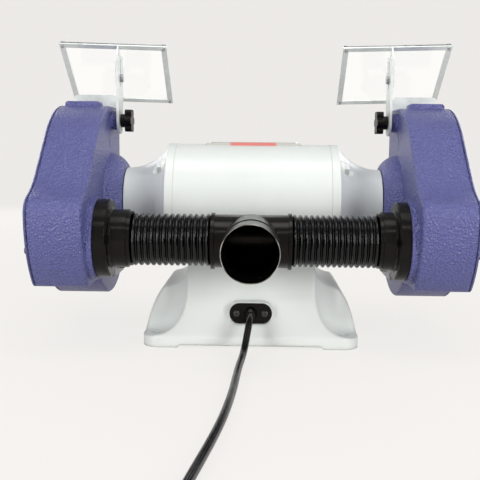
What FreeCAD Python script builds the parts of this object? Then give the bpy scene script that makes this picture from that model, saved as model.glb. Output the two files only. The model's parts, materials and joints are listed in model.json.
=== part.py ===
import FreeCAD, Part
import math
import os

from FreeCAD import Vector as V

# Eight-inch bench grinder with a dust collection manifold, in millimetres.
# Origin: centre of the foot pattern on the surface that the base stands on. +X is the operator's right, along
# the wheel shaft; -Y is the operator's side; +Z is up. The left side is the mirror image of the right side,
# apart from the dust cuffs and hoses, which are pushed together unequally, and the cord.

# Base casting
BASE_X, BASE_Y = 127.0, 125.0          # half width and half depth at the feet
FOOT_H, FOOT_CORNER_R = 13.0, 20.0     # thickness and corner radius of the four foot pads
FOOT_RELIEF, FOOT_INNER_X = 3.0, 82.0  # the underside is raised between the two rows of feet
BOLT_X, BOLT_Y, BOLT_R = 112.5, 100.0, 4.5
SHOULDER_Z, NECK_Z, SADDLE_Z = 63.0, 87.0, 126.0
NECK_X, NECK_Y, SADDLE_Y = 77.0, 85.0, 62.0
SCOOP_R, SCOOP_FLOOR_R, SCOOP_X, SCOOP_Y = 47.0, 15.0, 120.0, 105.0
CAVITY_X, CAVITY_Y, CAVITY_TOP = 68.0, 76.0, 82.0
CHAMBER_X, CHAMBER_Y, CHAMBER_TOP = 76.0, 87.0, 50.0   # wider lower part of the cavity
PAD_ROOT_Y, CABLE_PAD_RIM, SWITCH_PAD_RIM = 60.0, 1.0, 4.0

# Motor
AXIS_Z = 164.0
MOTOR_R, MOTOR_X, MOTOR_WALL = 73.0, 97.0, 3.0
BELL_RIM_R, BELL_RIM_X = 73.4, 107.0
BELL_NOSE_R, BELL_NOSE_X, BELL_WAIST = 42.0, 162.0, (127.5, 51.5)
BELL_BOLT_R, BELL_BOLT_X = 62.0, 113.0
STACK_X, AIR_GAP_R = 45.0, 41.5
BEARING_R, BEARING_BORE, BEARING_X0, BEARING_X1 = 23.5, 10.0, 143.0, 157.0

# Wheel and its clamping
WHEEL_R, WHEEL_W, WHEEL_X = 101.5, 25.0, 216.0
ARBOR_R = 7.94
FLANGE_R, BLOTTER_T = 38.0, 0.8

# Guard: drum round the wheel with a flat top, ramp, hollow, nose, lobe, heel, flat sole, toe back to the drum
GUARD_X1, GUARD_X2, GUARD_WALL, GUARD_EDGE_R = 183.5, 243.0, 5.5, 3.0
DRUM_R, RAMP_ANGLE, HOLLOW_R = 120.0, 45.0, 110.0
NOSE_Y, NOSE_Z, NOSE_R = 160.0, 158.0, 22.0
LOBE_R, HEEL_R, SOLE_Z, TOE_R = 120.0, 10.0, 74.0, 8.0
COVER_X0, COVER_LIP_X, COVER_X1, COVER_SEAM, COVER_EDGE = 243.3, 244.6, 247.0, 1.3, 1.2
OPEN_Y, OPEN_Z, OPEN_CORNER = -58.0, 113.0, 25.0
BOSS_X, BOSS_R, BOSS_WAIST, BOSS_ROOT_R = 163.0, 47.0, (169.5, 54.5), 61.0
HUB_X, HUB_R, HUB_BORE = 178.0, 41.0, 14.0
LUG_X, LUG_Y, LUG_H, LUG_CORNER = (195.5, 240.0), (-6.0, 12.0), 5.7, 4.0
RELIEF_Y, RELIEF_Z, RELIEF_W = 12.0, (231.0, 253.0), 2.4
COVER_SCREW_Y, COVER_SCREW_INSET, COVER_SCREW_R, COVER_POST_R = -27.0, 8.5, 2.5, 6.5
GUARD_BOLT_R, GUARD_BOLT_HOLE_R = 30.0, 4.1

# Dust manifold
PORT_Y, PORT_Z, PORT_R, PORT_BOSS_R, PORT_FACE_X = 123.0, 128.0, 28.0, 48.0, 175.7
ADAPTER_FLANGE_R, ADAPTER_COLLAR_R, ADAPTER_RING_R, ADAPTER_BORE = 45.0, 33.5, 31.5, 28.9
ADAPTER_X = {"right": (136.5, 141.0, 160.0), "left": (143.9, 148.0, 162.5)}   # ring, collar and flange begin
HOSE_X0, HOSE_SIDES, HOSE_CUFF = 46.0, 24, 12.0
HOSE_RIBS = {"right": 13, "left": 15}
HOSE_CREST_R, HOSE_ROOT_R, HOSE_BORE_R = 30.0, 27.6, 25.5
TEE_R, TEE_BORE, TEE_RING_R, TEE_RING_W, TEE_MOUTH_R, TEE_MOUTH_L = 30.5, 28.9, 32.5, 4.0, 30.1, 4.0
TEE_OUT_Y, TEE_SPIGOT_Y, TEE_ROOT_R = 237.0, 187.0, 31.3
TEE_Z, HOSE_Z = 126.0, 127.0

# Eye shield
STUD_Y, STUD_Z, STUD_R, STUD_DEPTH, STUD_BOSS_R = -6.0, 266.0, 4.0, 4.0, 12.0
ARM_X0, ARM_X1, ARM_HALF_W, ARM_Z0, ARM_Z1 = 172.0, 175.0, 17.0, 249.0, 349.0
ARM_SLOT_Z0, ARM_SLOT_Z1, ARM_SLOT_R = 309.0, 344.0, 2.8
SHIELD_W, SHIELD_L, SHIELD_T, PANE_T, SHIELD_RIM = 139.0, 115.0, 2.0, 2.5, 7.0
SHIELD_X, SHIELD_Y, SHIELD_Z = 185.0, -105.0, 296.0
SHIELD_SLOPE, SHIELD_DROOP = 35.0, 1.5
SHIELD_SCREW_Z, TAB_HALF_W, TAB_T = 320.0, 9.0, 2.0
KNOB_R, KNOB_LOBE_R, KNOB_LOBES, KNOB_X0, KNOB_HUB_R, KNOB_HUB_L = 11.0, 4.6, 6, 157.0, 8.6, 6.0

# Spark arrestor
SPARK_X0, SPARK_X1, SPARK_Z0, SPARK_Z1, SPARK_T = 187.0, 245.0, 250.0, 302.0, 2.0
SPARK_SCREW_X, SPARK_SCREW_Z, SPARK_SCREW_R, SPARK_SLOT_R, SPARK_TRAVEL = (204.0, 228.0), 273.0, 2.5, 2.8, 6.0
SPARK_LUG_X, SPARK_LUG_Z, SPARK_LUG_D = (196.0, 236.0), (267.0, 280.0), 14.0

# Tool rest
REST_X0, REST_X1, REST_Y0, REST_Y1, REST_T = 183.5, 247.0, -150.0, -105.5, 6.0
REST_PIVOT_Y, REST_PIVOT_Z, REST_PIVOT_R, REST_EAR_W = -126.0, 151.5, 3.0, 7.0
REST_ARM_X0, REST_ARM_X1, REST_ARM_W = 177.0, 183.0, 26.0
REST_CLAMP_Y, REST_CLAMP_Z, REST_TRAVEL = -18.0, 78.0, 20.0
REST_BOLT_R, REST_BOLT_L, REST_SLOT_R = 4.0, 12.0, 4.3

# Cable plate, cord and plug
CABLE_Z, CABLE_FACE_Y, CABLE_PLATE_T = 39.5, 111.0, 3.0
CABLE_HALF_W, CABLE_HALF_H, CABLE_SCREW_X = 25.0, 12.0, 16.5
BUSH_END_Y = 127.0
CORD_R, CORD_FACET_R, CORD_SIDES = 4.0, 4.2, 6
CORD_ROUTE = [
    (0.0, 127.0, 39.5), (0.5, 135.0, 38.4), (1.6, 143.8, 33.4), (3.2, 151.4, 25.0), (5.0, 160.0, 15.2),
    (7.0, 172.4, 7.2), (9.0, 190.4, 4.2), (11.0, 216.0, 4.2), (12.6, 254.0, 4.2), (14.2, 293.0, 4.2),
    (16.8, 335.0, 4.2), (20.8, 380.0, 4.2), (26.4, 425.0, 4.2), (33.0, 470.0, 4.2), (39.6, 514.0, 4.2),
    (44.2, 556.0, 4.6), (46.0, 590.0, 5.5), (46.0, 612.0, 5.5),
]
COIL_TURNS, COIL_PITCH, COIL_INNER_R, COIL_LAYER = 5.0, 8.9, 30.0, 8.9
TIE_W, TIE_T = 8.0, 1.1
PLUG_Y0, PLUG_L, PLUG_R = 640.0, 38.0, 13.0

# Switch on the front of the base
SWITCH_Z, SWITCH_FACE_Y, BEZEL_X, BEZEL_Z, BEZEL_T = 42.0, -116.0, 18.0, 24.0, 3.0
ROCKER_X, ROCKER_Z = 11.0, 15.0

# Running and static clearances
RUN_FIT, FIT, MOVE_GAP = 0.05, 0.1, 0.4

ORIGIN, AXIS = V(0, 0, 0), V(0, 0, AXIS_Z)
UNIT_X, UNIT_Y, UNIT_Z = V(1, 0, 0), V(0, 1, 0), V(0, 0, 1)


# General shapes

def save(name, *shapes):
    """Writes one node; several solids become a group of separate solids."""
    shape = shapes[0] if len(shapes) == 1 else Part.Compound(list(shapes))
    assert shape.isValid(), name
    shape.exportStep("parts/" + name + ".step")
    print(name, "solids", len(shape.Solids), "volume", round(shape.Volume))


def mirrored(shape):
    """The left-hand piece of a right-hand one."""
    return shape.mirror(ORIGIN, UNIT_X)


def save_pair(name, *shapes):
    save(name + "_right", *shapes)
    save(name + "_left", *[mirrored(s) for s in shapes])


def both_sides(*shapes):
    return list(shapes) + [mirrored(s) for s in shapes]


def box(x0, x1, y0, y1, z0, z1):
    return Part.makeBox(x1 - x0, y1 - y0, z1 - z0, V(x0, y0, z0))


def rod(radius, start, end):
    """Cylinder between two points."""
    return Part.makeCylinder(radius, (end - start).Length, start, end - start)


def rod_x(radius, x0, x1, y=0.0, z=AXIS_Z):
    return rod(radius, V(x0, y, z), V(x1, y, z))


def outline(place, start, *steps):
    """Closed wire; a step is the next corner, or a pair (point on the arc, end of the arc)."""
    edges = []
    here = start
    for step in steps + (start,):
        if isinstance(step[0], tuple):
            edges.append(Part.Arc(place(*here), place(*step[0]), place(*step[1])).toShape())
            here = step[1]
        elif math.dist(here, step) > 1e-6:
            edges.append(Part.LineSegment(place(*here), place(*step)).toShape())
            here = step
    return Part.Wire(edges)


def in_yz(x):
    return lambda y, z: V(x, y, z)


def in_xz(y):
    return lambda x, z: V(x, y, z)


def in_xy(z):
    return lambda x, y: V(x, y, z)


def prism(wire, direction):
    return Part.Face(wire).extrude(direction)


def revolved(axis_point, *profile):
    """Turned piece about an X axis; the profile is in x and radius."""
    wire = outline(lambda x, r: axis_point + V(x, 0, r), *profile)
    return Part.Face(wire).revolve(axis_point, UNIT_X, 360)


def loft(*wires):
    return Part.makeLoft(list(wires), True, True)


def hexagon(across_flats, centre, normal, height):
    """Hexagonal prism standing on its centre point."""
    radius = across_flats / math.sqrt(3)
    side = normal.cross(UNIT_Z) if abs(normal.z) < 0.9 else UNIT_X
    side.normalize()
    up = normal.cross(side)
    corners = [centre + side * (radius * math.cos(a)) + up * (radius * math.sin(a))
               for a in (math.radians(60 * i) for i in range(6))]
    return prism(Part.makePolygon(corners + corners[:1]), normal * height)


def hex_bolt(under_head, outward, shank_r, length, across_flats, head_h):
    """Bolt whose head bears at a point and stands outward from it."""
    shank = rod(shank_r, under_head, under_head - outward * length)
    return hexagon(across_flats, under_head, outward, head_h).fuse(shank).removeSplitter()


def round_screw(under_head, outward, shank_r, length, head_r, head_h):
    shank = rod(shank_r, under_head, under_head - outward * length)
    return rod(head_r, under_head, under_head + outward * head_h).fuse(shank).removeSplitter()


def oval(place, half_w, half_h, centre_x=0.0, centre_y=0.0):
    """Outline with two straight sides and round ends."""
    flat = half_w - half_h
    x0, x1, y0, y1 = centre_x - flat, centre_x + flat, centre_y - half_h, centre_y + half_h
    return outline(place, (x0, y0), (x1, y0), ((centre_x + half_w, centre_y), (x1, y1)), (x0, y1),
                   ((centre_x - half_w, centre_y), (x0, y0)))


# Base

def flared_sides():
    """The base as the common volume of its front and side outlines, both with concave flanks."""
    front = outline(in_xz(-BASE_Y - 5), (-BASE_X, 0), (BASE_X, 0), (BASE_X, FOOT_H),
                    ((BASE_X - 5, 36), (BASE_X - 17, SHOULDER_Z - 3)), (BASE_X - 21, SHOULDER_Z),
                    ((BASE_X - 41, 71), (NECK_X, NECK_Z)), (NECK_X - 3, SADDLE_Z), (3 - NECK_X, SADDLE_Z),
                    (-NECK_X, NECK_Z), ((41 - BASE_X, 71), (21 - BASE_X, SHOULDER_Z)),
                    (17 - BASE_X, SHOULDER_Z - 3), ((5 - BASE_X, 36), (-BASE_X, FOOT_H)))
    side = outline(in_yz(-BASE_X - 5), (-BASE_Y, 0), (BASE_Y, 0), (BASE_Y, FOOT_H),
                   ((BASE_Y - 23, 46), (NECK_Y, NECK_Z)), (SADDLE_Y, SADDLE_Z), (-SADDLE_Y, SADDLE_Z),
                   (-NECK_Y, NECK_Z), ((23 - BASE_Y, 46), (-BASE_Y, FOOT_H)))
    walls = prism(front, UNIT_Y * (2 * BASE_Y + 10)).common(prism(side, UNIT_X * (2 * BASE_X + 10)))
    return walls.common(prism(foot_plan(), UNIT_Z * SADDLE_Z))


def foot_plan():
    """Rectangle of the feet with round corners."""
    x, y, r = BASE_X, BASE_Y, FOOT_CORNER_R
    c = r * (1 - math.sqrt(0.5))
    return outline(in_xy(0), (r - x, -y), (x - r, -y), ((x - c, c - y), (x, r - y)), (x, y - r),
                   ((x - c, y - c), (x - r, y)), (r - x, y), ((c - x, y - c), (-x, y - r)), (-x, r - y),
                   ((c - x, c - y), (r - x, -y)))


def corner_scoop(x, y):
    """Upright hollow above a foot: flat floor for the bolt, then a bell-shaped wall up past the neck."""
    tip, floor, side = V(x, y, FOOT_H), V(x + SCOOP_FLOOR_R, y, FOOT_H), V(x + SCOOP_R, y, NECK_Z)
    wall = Part.ArcOfEllipse(Part.Ellipse(floor, side, V(x + SCOOP_FLOOR_R, y, NECK_Z)), 0, math.pi / 2)
    top, top_side = V(x, y, SADDLE_Z + 20), V(x + SCOOP_R, y, SADDLE_Z + 20)
    edges = [Part.LineSegment(tip, floor), wall, Part.LineSegment(side, top_side),
             Part.LineSegment(top_side, top), Part.LineSegment(top, tip)]
    return Part.Face(Part.Wire([e.toShape() for e in edges])).revolve(tip, UNIT_Z, 360)


def base_casting():
    body = flared_sides()
    corners = [(sx, sy) for sx in (1, -1) for sy in (1, -1)]
    for sx, sy in corners:
        body = body.cut(corner_scoop(sx * SCOOP_X, sy * SCOOP_Y))
    cable_depth, switch_depth = CABLE_FACE_Y - PAD_ROOT_Y, SWITCH_FACE_Y + PAD_ROOT_Y
    half_x, half_z = CABLE_HALF_W + CABLE_PAD_RIM, CABLE_HALF_H + CABLE_PAD_RIM
    cable_pad = prism(oval(in_xz(PAD_ROOT_Y), half_x, half_z, 0, CABLE_Z), UNIT_Y * cable_depth)
    half_x, half_z = BEZEL_X + SWITCH_PAD_RIM, BEZEL_Z + SWITCH_PAD_RIM
    switch_pad = box(-half_x, half_x, SWITCH_FACE_Y, -PAD_ROOT_Y, SWITCH_Z - half_z, SWITCH_Z + half_z)
    body = body.fuse([cable_pad, switch_pad])
    cable_face = cable_pad.translated(UNIT_Y * cable_depth)
    switch_face = switch_pad.translated(UNIT_Y * switch_depth)
    body = body.cut([cable_face, switch_face])
    body = body.cut(rod_x(MOTOR_R + FIT, -BASE_X, BASE_X))
    relief = outline(in_xz(-BASE_Y - 1), (-FOOT_INNER_X - 4, 0), (FOOT_INNER_X + 4, 0),
                     (FOOT_INNER_X, FOOT_RELIEF), (-FOOT_INNER_X, FOOT_RELIEF))
    body = body.cut(prism(relief, UNIT_Y * (2 * BASE_Y + 2)))
    cavity = box(-CAVITY_X, CAVITY_X, -CAVITY_Y, CAVITY_Y, 0, CAVITY_TOP)
    chamber = box(-CHAMBER_X, CHAMBER_X, -CHAMBER_Y, CHAMBER_Y, 0, CHAMBER_TOP)
    rebate = box(-CHAMBER_X - 8, CHAMBER_X + 8, -CHAMBER_Y - 8, CHAMBER_Y + 8, 0, FOOT_RELIEF + 2)
    cable_way = rod(7.0, V(0, 0, CABLE_Z), V(0, CABLE_FACE_Y + 1, CABLE_Z))
    switch_way = box(-ROCKER_X - 3, ROCKER_X + 3, SWITCH_FACE_Y - 1, 0, SWITCH_Z - 18, SWITCH_Z + 18)
    body = body.cut([cavity, chamber, rebate, cable_way, switch_way])
    holes = [rod(BOLT_R, V(sx * BOLT_X, sy * BOLT_Y, -1), V(sx * BOLT_X, sy * BOLT_Y, FOOT_H + 30))
             for sx, sy in corners]
    holes += motor_bolt_holes() + cover_screw_holes()
    holes += [rod(2.1, V(x, CABLE_FACE_Y - 10, CABLE_Z), V(x, CABLE_FACE_Y + 1, CABLE_Z))
              for x in (-CABLE_SCREW_X, CABLE_SCREW_X)]
    return body.cut(holes).removeSplitter()


MOTOR_BOLT_PLACES = [(sx * 52.0, sy * 20.0) for sx in (1, -1) for sy in (1, -1)]
PLATE_SCREW_PLACES = [(sx * (CHAMBER_X + 4.0), sy * (CHAMBER_Y - 14.0)) for sx in (1, -1) for sy in (1, -1)]


def motor_bolt_holes():
    return [rod(4.1, V(x, y, CAVITY_TOP - 1), V(x, y, AXIS_Z)) for x, y in MOTOR_BOLT_PLACES]


def cover_screw_holes():
    return [rod(2.1, V(x, y, 0), V(x, y, FOOT_RELIEF + 15)) for x, y in PLATE_SCREW_PLACES]


def base_nodes():
    save("base_casting", base_casting())
    half_x, half_y = CHAMBER_X + 7.5, CHAMBER_Y + 7.5
    plate = box(-half_x, half_x, -half_y, half_y, FOOT_RELIEF, FOOT_RELIEF + 1.9)
    save("base_cover_plate", plate.cut(cover_screw_holes()))
    save("capacitor", rod(18.0, V(-35, 20, 22.9), V(45, 20, 22.9)))
    save("motor_mount_bolts", *[hex_bolt(V(x, y, CAVITY_TOP), -UNIT_Z, 4.0, 18.0, 13.0, 5.5)
                                for x, y in MOTOR_BOLT_PLACES])


# Motor

def bell_bolt_places():
    return [(BELL_BOLT_R * math.cos(a), AXIS_Z + BELL_BOLT_R * math.sin(a))
            for a in (math.radians(45 + 90 * i) for i in range(4))]


def end_bell():
    """Dished cover: rim, concave flank and long nose, with four bolt pads and the bearing seat."""
    spigot_r = MOTOR_R - MOTOR_WALL - FIT
    shell = revolved(
        AXIS, (MOTOR_X - 5, spigot_r), (MOTOR_X, spigot_r), (MOTOR_X, BELL_RIM_R), (BELL_RIM_X, BELL_RIM_R),
        (BELL_RIM_X + 2.5, BELL_RIM_R - 4), (BELL_WAIST, (BELL_NOSE_X, BELL_NOSE_R)), (BELL_NOSE_X, 13.0),
        (BEARING_X1, 13.0), (BEARING_X1, BEARING_R + FIT), (BEARING_X0, BEARING_R + FIT), (BEARING_X0, 36.0),
        (124.0, 43.0), (105.0, 64.0), (MOTOR_X - 5, 64.0))
    pads = [rod_x(10.0, MOTOR_X, BELL_BOLT_X, y, z) for y, z in bell_bolt_places()]
    shell = shell.fuse(pads)
    holes = [rod_x(4.1, MOTOR_X - 6, BELL_BOLT_X + 1, y, z) for y, z in bell_bolt_places()]
    holes += [rod_x(9.0, BELL_BOLT_X, BELL_BOLT_X + 30, y, z) for y, z in bell_bolt_places()]
    guard_holes = [rod_x(4.1, BELL_NOSE_X - 14, BELL_NOSE_X + 1, y, z) for y, z in guard_bolt_places()]
    return shell.cut(holes + guard_holes).removeSplitter()


def motor_nodes():
    tube = rod_x(MOTOR_R, -MOTOR_X, MOTOR_X).cut(rod_x(MOTOR_R - MOTOR_WALL, -MOTOR_X, MOTOR_X))
    save("motor_housing", tube.cut(motor_bolt_holes()))
    save_pair("end_bell", end_bell())
    bolts = [hex_bolt(V(BELL_BOLT_X, y, z), UNIT_X, 4.0, 14.0, 13.0, 5.5) for y, z in bell_bolt_places()]
    save("end_bell_bolts", *both_sides(*bolts))
    stack_r = MOTOR_R - MOTOR_WALL - FIT
    save("stator_core", rod_x(stack_r, -STACK_X, STACK_X).cut(rod_x(AIR_GAP_R + 0.5, -STACK_X, STACK_X)))
    turns = revolved(AXIS, (STACK_X + FIT, 46.0), (STACK_X + FIT, 65.0), (72.0, 65.0), (78.0, 60.0),
                     (78.0, 51.0), (72.0, 46.0))
    save("stator_winding", *both_sides(turns))
    ring = rod_x(BEARING_R, BEARING_X0, BEARING_X1 - FIT).cut(rod_x(19.5, BEARING_X0, BEARING_X1))
    shields = [rod_x(19.6, x, x + 1).cut(rod_x(14.3, x, x + 1)) for x in (BEARING_X0 + 0.5, BEARING_X1 - 1.6)]
    save("bearing_outer_rings", *both_sides(ring.fuse(shields).removeSplitter()))


def rotor_nodes():
    arbor_x = WHEEL_X - WHEEL_W / 2 - BLOTTER_T - 10
    end_x = WHEEL_X + WHEEL_W / 2 + 13
    shaft = revolved(AXIS, (0, 0), (0, 14.0), (STACK_X + 6, 14.0), (BEARING_X0 - 2, 12.0),
                     (BEARING_X0 - 2, 11.9), (BEARING_X0, 11.9), (BEARING_X0, BEARING_BORE),
                     (arbor_x, BEARING_BORE), (arbor_x, ARBOR_R), (end_x - 1.5, ARBOR_R),
                     (end_x, ARBOR_R - 1.5), (end_x, 0))
    save("shaft", shaft.fuse(mirrored(shaft)).removeSplitter())
    save("rotor_core", rod_x(AIR_GAP_R, -STACK_X, STACK_X).cut(rod_x(14.05, -STACK_X, STACK_X)))
    inner = rod_x(14.0, BEARING_X0 + 0.1, BEARING_X1).cut(rod_x(BEARING_BORE + 0.02, BEARING_X0, BEARING_X1))
    save("bearing_inner_rings", *both_sides(inner))
    bore = ARBOR_R + 0.05
    x0, x1 = WHEEL_X - WHEEL_W / 2, WHEEL_X + WHEEL_W / 2
    wheel = rod_x(WHEEL_R, x0, x1).cut(rod_x(bore, x0, x1))
    chamfered = [e for e in wheel.Edges if abs(e.BoundBox.ZLength - 2 * WHEEL_R) < 1]
    save_pair("grinding_wheel", wheel.makeChamfer(1.0, chamfered))
    papers = [rod_x(FLANGE_R + 4, x, x + BLOTTER_T).cut(rod_x(bore, x, x + BLOTTER_T))
              for x in (x0 - BLOTTER_T, x1)]
    save("wheel_blotters", *both_sides(*papers))
    flange = revolved(AXIS, (0, bore), (0, 14.0), (4, FLANGE_R - 6), (10, FLANGE_R), (10, FLANGE_R - 9),
                      (8.8, FLANGE_R - 9), (8.8, bore))
    inner = flange.translated(V(x0 - BLOTTER_T - 10, 0, 0))
    outer = flange.mirror(ORIGIN, UNIT_X).translated(V(x1 + BLOTTER_T + 10, 0, 0))
    save("wheel_flanges", *both_sides(inner, outer.cut(rod_x(20, x1 + BLOTTER_T + 7, x1 + 30))))
    nut = hexagon(24.0, V(x1 + BLOTTER_T + 7, 0, AXIS_Z), UNIT_X, 5.0)
    save("wheel_nuts", *both_sides(nut.cut(rod_x(bore, x1, x1 + 30))))


# Guards

def polar(centre, radius, angle):
    """Point at an angle in degrees on a circle in y and z."""
    turn = math.radians(angle)
    return centre[0] + radius * math.cos(turn), centre[1] + radius * math.sin(turn)


def angle_to(centre, other):
    return math.degrees(math.atan2(other[1] - centre[1], other[0] - centre[0]))


DRUM, NOSE, LOBE = (0.0, AXIS_Z), (NOSE_Y, NOSE_Z), (NOSE_Y + NOSE_R - LOBE_R, NOSE_Z)


def hollow_centre():
    """Centre of the hollow that touches the ramp's line and the nose from outside."""
    ramp = math.radians(RAMP_ANGLE)
    across = DRUM_R + DRUM[1] * math.sin(ramp) + HOLLOW_R
    from_nose = across - NOSE[0] * math.cos(ramp) - NOSE[1] * math.sin(ramp)
    back = math.sqrt((HOLLOW_R + NOSE_R) ** 2 - from_nose ** 2)
    return (NOSE[0] + from_nose * math.cos(ramp) - back * math.sin(ramp),
            NOSE[1] + from_nose * math.sin(ramp) + back * math.cos(ramp))


def heel_centre():
    """Centre of the small round between the lobe and the flat sole."""
    z = SOLE_Z + HEEL_R
    return LOBE[0] + math.sqrt((LOBE_R - HEEL_R) ** 2 - (LOBE[1] - z) ** 2), z


def toe_centre():
    """Centre of the small inward round where the sole runs into the drum."""
    z = SOLE_Z - TOE_R
    return math.sqrt((DRUM_R + TOE_R) ** 2 - (AXIS_Z - z) ** 2), z


HOLLOW, HEEL, TOE = hollow_centre(), heel_centre(), toe_centre()


def guard_wire(inset, x):
    """Guard outline in the plane x, drawn in by inset."""
    def arc(centre, radius, start, end):
        return polar(centre, radius, (start + end) / 2), polar(centre, radius, end)

    nose_angle = angle_to(NOSE, HOLLOW)
    heel_angle = angle_to(LOBE, HEEL)
    toe_angle = angle_to(DRUM, TOE)
    return outline(in_yz(x), polar(DRUM, DRUM_R - inset, RAMP_ANGLE),
                   polar(HOLLOW, HOLLOW_R + inset, RAMP_ANGLE - 180),
                   arc(HOLLOW, HOLLOW_R + inset, RAMP_ANGLE - 180, nose_angle - 180),
                   arc(NOSE, NOSE_R - inset, nose_angle, 0), arc(LOBE, LOBE_R - inset, 0, heel_angle),
                   arc(HEEL, HEEL_R - inset, heel_angle, -90), polar(TOE, TOE_R + inset, 90),
                   arc(TOE, TOE_R + inset, 90, toe_angle + 180), arc(DRUM, DRUM_R - inset, toe_angle, -180),
                   (inset - DRUM_R, AXIS_Z + DRUM_R - inset), (0, AXIS_Z + DRUM_R - inset),
                   arc(DRUM, DRUM_R - inset, 90, RAMP_ANGLE))


def front_opening():
    far = 2 * DRUM_R
    wire = outline(in_yz(0), (OPEN_Y, AXIS_Z + far), (OPEN_Y, OPEN_Z + OPEN_CORNER),
                   (polar((OPEN_Y - OPEN_CORNER, OPEN_Z + OPEN_CORNER), OPEN_CORNER, -45),
                    (OPEN_Y - OPEN_CORNER, OPEN_Z)),
                   (-far, OPEN_Z), (-far, AXIS_Z + far))
    return prism(wire, UNIT_X * 2 * COVER_X1)


def guard_bolt_places():
    return [polar(DRUM, GUARD_BOLT_R, 45 + 90 * i) for i in range(4)]


def cover_screw_places():
    """Screws round the guard's edge: under the flat top, on the drum, on the lobe, above the toe."""
    return [(COVER_SCREW_Y, AXIS_Z + DRUM_R - COVER_SCREW_INSET), polar(DRUM, DRUM_R - COVER_SCREW_INSET, -128),
            polar(LOBE, LOBE_R - COVER_SCREW_INSET, -21), (TOE[0] + HEEL_R, SOLE_Z + COVER_SCREW_INSET)]


def guard_hollow():
    """Inside of the guard with its hub pocket, kept clear of the screw posts."""
    inside_x = GUARD_X1 + GUARD_WALL
    room = prism(guard_wire(GUARD_WALL, inside_x), UNIT_X * (GUARD_X2 - inside_x))
    posts = [rod_x(COVER_POST_R, inside_x - 1, GUARD_X2, y, z) for y, z in cover_screw_places()]
    return room.cut(posts).fuse(rod_x(HUB_R, HUB_X, inside_x + 1))


def guard_shell():
    """Cast pan with a rounded inner edge."""
    pan = prism(guard_wire(0, GUARD_X1), UNIT_X * (GUARD_X2 - GUARD_X1))
    inner_edge = [e for e in pan.Edges if e.BoundBox.XMax < GUARD_X1 + 0.1]
    return pan.makeFillet(GUARD_EDGE_R, inner_edge)


def top_lug():
    top = AXIS_Z + DRUM_R
    lug = box(*LUG_X, *LUG_Y, top - 2 * LUG_H, top + LUG_H)
    across = [e for e in lug.Edges if e.BoundBox.YLength > 1 and e.BoundBox.ZMin > top]
    return lug.makeFillet(LUG_CORNER, across)


def wheel_guard():
    inside_x = GUARD_X1 + GUARD_WALL
    root_x = GUARD_X1 + 1
    boss = revolved(AXIS, (BOSS_X, 0), (BOSS_X, BOSS_R), (BOSS_WAIST, (root_x, BOSS_ROOT_R)), (root_x, 0))
    port_boss = rod_x(PORT_BOSS_R, PORT_FACE_X, root_x, PORT_Y, PORT_Z)
    stud_boss = rod_x(STUD_BOSS_R, ARM_X1 + MOVE_GAP, root_x, STUD_Y, STUD_Z)
    spark_lug = box(*SPARK_LUG_X, OPEN_Y, OPEN_Y + SPARK_LUG_D, *SPARK_LUG_Z)
    body = guard_shell().fuse([boss, port_boss, stud_boss, top_lug(), spark_lug])
    body = body.cut([guard_hollow(), front_opening().cut(spark_lug)])
    holes = [rod_x(HUB_BORE, BOSS_X - 1, HUB_X + 1),
             rod_x(PORT_R, PORT_FACE_X - 1, inside_x + 1, PORT_Y, PORT_Z),
             rod_x(STUD_R + RUN_FIT, ARM_X1, GUARD_X1 + STUD_DEPTH + MOVE_GAP, STUD_Y, STUD_Z),
             rod_x(REST_BOLT_R + FIT, GUARD_X1 - 1, inside_x + 1, REST_CLAMP_Y, REST_CLAMP_Z),
             box(GUARD_X1 - 1, GUARD_X1 + 2, RELIEF_Y - RELIEF_W / 2, RELIEF_Y + RELIEF_W / 2, *RELIEF_Z)]
    holes += [rod_x(GUARD_BOLT_HOLE_R, BOSS_X - 1, HUB_X + 1, y, z) for y, z in guard_bolt_places()]
    holes += [rod_x(COVER_SCREW_R + FIT, GUARD_X2 - 14, GUARD_X2 + 1, y, z) for y, z in cover_screw_places()]
    holes += [rod(SPARK_SCREW_R + FIT, V(x, OPEN_Y - 1, SPARK_SCREW_Z), V(x, OPEN_Y + 12, SPARK_SCREW_Z))
              for x in SPARK_SCREW_X]
    return body.cut(holes).removeSplitter()


def guard_cover():
    """Thin outer plate, open at the front like the guard; its lip stands out over a narrow seam."""
    edge_x = COVER_X1 - COVER_EDGE
    plate = prism(guard_wire(COVER_SEAM, COVER_X0), UNIT_X * (COVER_LIP_X - COVER_X0))
    plate = plate.fuse([prism(guard_wire(0, COVER_LIP_X), UNIT_X * (edge_x - COVER_LIP_X)),
                        loft(guard_wire(0, edge_x), guard_wire(COVER_EDGE, COVER_X1))])
    holes = [rod_x(COVER_SCREW_R + FIT, COVER_X0 - 1, COVER_X1 + 1, y, z) for y, z in cover_screw_places()]
    return plate.cut(holes + [front_opening()]).removeSplitter()


def guard_nodes():
    save_pair("wheel_guard", wheel_guard())
    save_pair("guard_cover", guard_cover())
    screws = [round_screw(V(COVER_X1, y, z), UNIT_X, COVER_SCREW_R, 16.0, 4.5, 2.8)
              for y, z in cover_screw_places()]
    save("guard_cover_screws", *both_sides(*screws))
    bolts = [hex_bolt(V(HUB_X, y, z), UNIT_X, 4.0, 26.0, 13.0, 5.5) for y, z in guard_bolt_places()]
    save("guard_mount_bolts", *both_sides(*bolts))


# Dust manifold

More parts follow.
